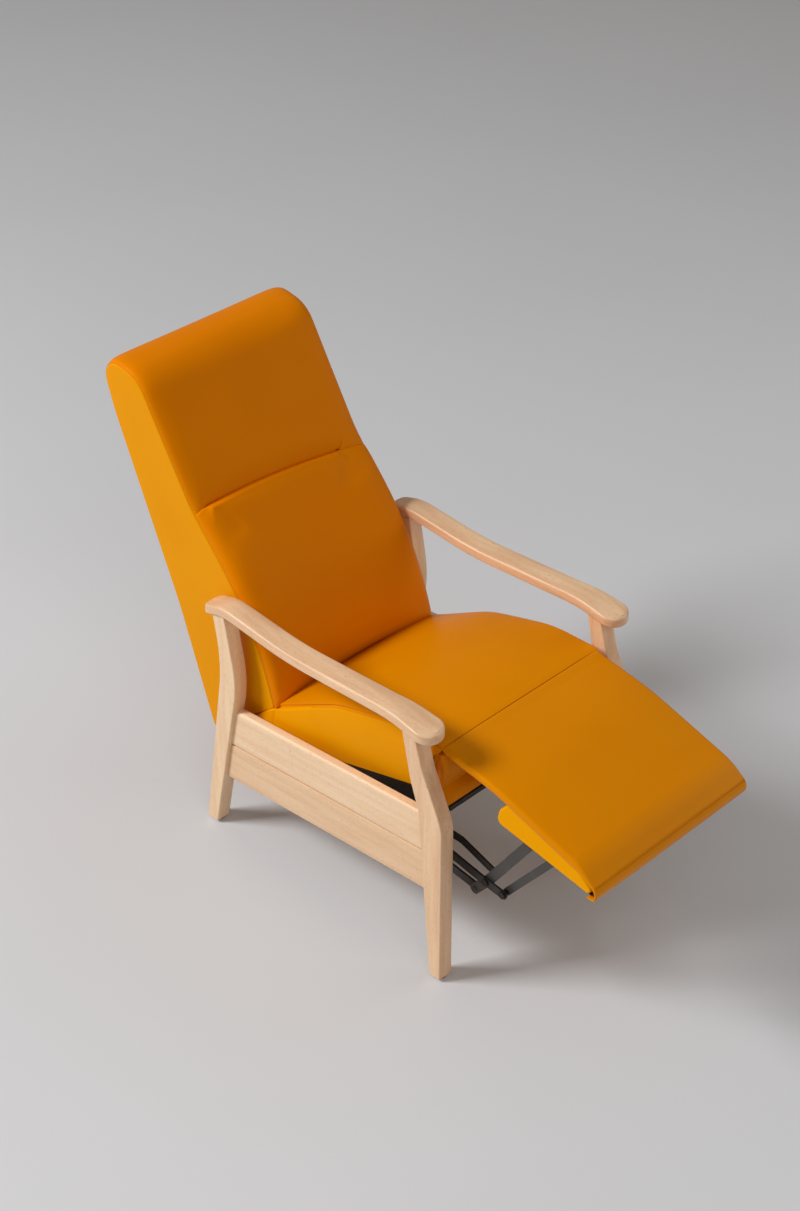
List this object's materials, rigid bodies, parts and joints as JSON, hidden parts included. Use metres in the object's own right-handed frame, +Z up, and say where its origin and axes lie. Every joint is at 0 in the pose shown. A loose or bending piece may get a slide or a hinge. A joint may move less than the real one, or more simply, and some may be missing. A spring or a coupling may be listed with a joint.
{
  "type": "reclining care armchair",
  "caption": "Reclining armchair with shaped wooden arms, padded seat and back, and a padded footrest on folding steel links.",
  "frame": {"origin": "middle of the bounding box, on the floor", "axes": "+Z up, the front of the chair towards -Y, +X to the right of someone looking along +Y"},
  "size_m": [0.6528, 1.4876, 1.108],
  "materials": {
    "beech": "satin lacquer",
    "vinyl": "smooth satin vinyl",
    "inner_wood": "raw",
    "black_steel": "satin",
    "bright_steel": "plated",
    "black_plastic": "matt",
    "strap": "woven"
  },
  "bodies": {
    "frame": {"left_front_leg": "beech", "right_front_leg": "beech", "left_rear_leg": "beech", "right_rear_leg": "beech", "left_upper_rail": "beech", "right_upper_rail": "beech", "left_lower_rail": "beech", "right_lower_rail": "beech", "left_armrest": "beech", "right_armrest": "beech", "left_base_plate": "black_steel", "right_base_plate": "black_steel", "foot_glides": "black_plastic", "front_cross_rail": "beech", "rear_cross_rail": "beech", "base_plate_bolts": "bright_steel", "seat_hinge_pins": "bright_steel"},
    "seat": {"seat_cushion": "vinyl", "seat_front_band": "vinyl", "seat_panel": "inner_wood", "seat_front_rail": "inner_wood", "seat_front_bar": "black_steel", "link_pivot_pins": "bright_steel", "back_hinge_pins": "bright_steel", "left_seat_plate": "black_steel", "right_seat_plate": "black_steel"},
    "backrest": {"back_lumbar_cushion": "vinyl", "back_head_cushion": "vinyl", "back_rear_panel": "vinyl", "back_bottom_rail": "inner_wood", "back_top_rail": "inner_wood", "back_straps": "strap", "left_back_side_panel": "vinyl", "right_back_side_panel": "vinyl", "left_back_stile": "inner_wood", "right_back_stile": "inner_wood", "left_back_hinge_bracket": "black_steel", "right_back_hinge_bracket": "black_steel"},
    "footrest": {"leg_flap": "vinyl", "footrest_pad": "vinyl", "footrest_board": "inner_wood", "hem_clip": "black_plastic", "left_footrest_bracket": "black_steel", "right_footrest_bracket": "black_steel"},
    "left_front_link": {"left_front_link": "black_steel", "left_front_link_pins": "bright_steel"},
    "left_long_bar": {"left_long_bar": "black_steel"},
    "left_short_bar": {"left_short_bar": "black_steel"},
    "left_rear_link": {"left_rear_link": "black_steel"},
    "left_drive_link": {"left_drive_link": "black_steel"},
    "right_front_link": {"right_front_link": "black_steel", "right_front_link_pins": "bright_steel"},
    "right_long_bar": {"right_long_bar": "black_steel"},
    "right_short_bar": {"right_short_bar": "black_steel"},
    "right_rear_link": {"right_rear_link": "black_steel"},
    "right_drive_link": {"right_drive_link": "black_steel"}
  },
  "joints": [
    {"name": "seat_tilt", "type": "hinge", "parent": "frame", "child": "seat", "pos_m": [0, 0.23494, 0.30007], "axis": [1, 0, 0], "range_deg": [0, 8.1]},
    {"name": "back_recline", "type": "hinge", "parent": "seat", "child": "backrest", "pos_m": [0, 0.22565, 0.39283], "axis": [1, 0, 0], "range_deg": [0, 14]},
    {"name": "footrest_fold", "type": "hinge", "parent": "seat", "child": "footrest", "pos_m": [0, -0.3095, 0.592], "axis": [1, 0, 0], "range_deg": [0, 54]},
    {"name": "left_front_link_turn", "type": "hinge", "parent": "seat", "child": "left_front_link", "pos_m": [0, -0.25028, 0.32397], "axis": [1, 0, 0], "range_deg": [0, 75.83]},
    {"name": "left_long_bar_turn", "type": "hinge", "parent": "left_front_link", "child": "left_long_bar", "pos_m": [0, -0.43058, 0.29858], "axis": [1, 0, 0], "range_deg": [-87.12, 0]},
    {"name": "left_short_bar_turn", "type": "hinge", "parent": "left_front_link", "child": "left_short_bar", "pos_m": [0, -0.47983, 0.29481], "axis": [1, 0, 0], "range_deg": [-84.75, 0]},
    {"name": "left_rear_link_turn", "type": "hinge", "parent": "seat", "child": "left_rear_link", "pos_m": [0, -0.21216, 0.26736], "axis": [1, 0, 0], "range_deg": [0, 75.1]},
    {"name": "left_drive_link_turn", "type": "hinge", "parent": "seat", "child": "left_drive_link", "pos_m": [0, -0.26717, 0.35423], "axis": [1, 0, 0], "range_deg": [0, 75.84]},
    {"name": "right_front_link_turn", "type": "hinge", "parent": "seat", "child": "right_front_link", "pos_m": [0, -0.25028, 0.32397], "axis": [1, 0, 0], "range_deg": [0, 75.83]},
    {"name": "right_long_bar_turn", "type": "hinge", "parent": "right_front_link", "child": "right_long_bar", "pos_m": [0, -0.43058, 0.29858], "axis": [1, 0, 0], "range_deg": [-87.12, 0]},
    {"name": "right_short_bar_turn", "type": "hinge", "parent": "right_front_link", "child": "right_short_bar", "pos_m": [0, -0.47983, 0.29481], "axis": [1, 0, 0], "range_deg": [-84.75, 0]},
    {"name": "right_rear_link_turn", "type": "hinge", "parent": "seat", "child": "right_rear_link", "pos_m": [0, -0.21216, 0.26736], "axis": [1, 0, 0], "range_deg": [0, 75.1]},
    {"name": "right_drive_link_turn", "type": "hinge", "parent": "seat", "child": "right_drive_link", "pos_m": [0, -0.26717, 0.35423], "axis": [1, 0, 0], "range_deg": [0, 75.84]}
  ],
  "couplings": [
    {"joint": "seat_tilt", "follows": "back_recline", "ratio": 0.57143},
    {"joint": "left_front_link_turn", "follows": "footrest_fold", "ratio": 1.3987},
    {"joint": "left_long_bar_turn", "follows": "footrest_fold", "ratio": -1.6078},
    {"joint": "left_short_bar_turn", "follows": "footrest_fold", "ratio": -1.5639},
    {"joint": "left_rear_link_turn", "follows": "footrest_fold", "ratio": 1.3852},
    {"joint": "left_drive_link_turn", "follows": "footrest_fold", "ratio": 1.3989},
    {"joint": "right_front_link_turn", "follows": "footrest_fold", "ratio": 1.3987},
    {"joint": "right_long_bar_turn", "follows": "footrest_fold", "ratio": -1.6078},
    {"joint": "right_short_bar_turn", "follows": "footrest_fold", "ratio": -1.5639},
    {"joint": "right_rear_link_turn", "follows": "footrest_fold", "ratio": 1.3852},
    {"joint": "right_drive_link_turn", "follows": "footrest_fold", "ratio": 1.3989}
  ]
}
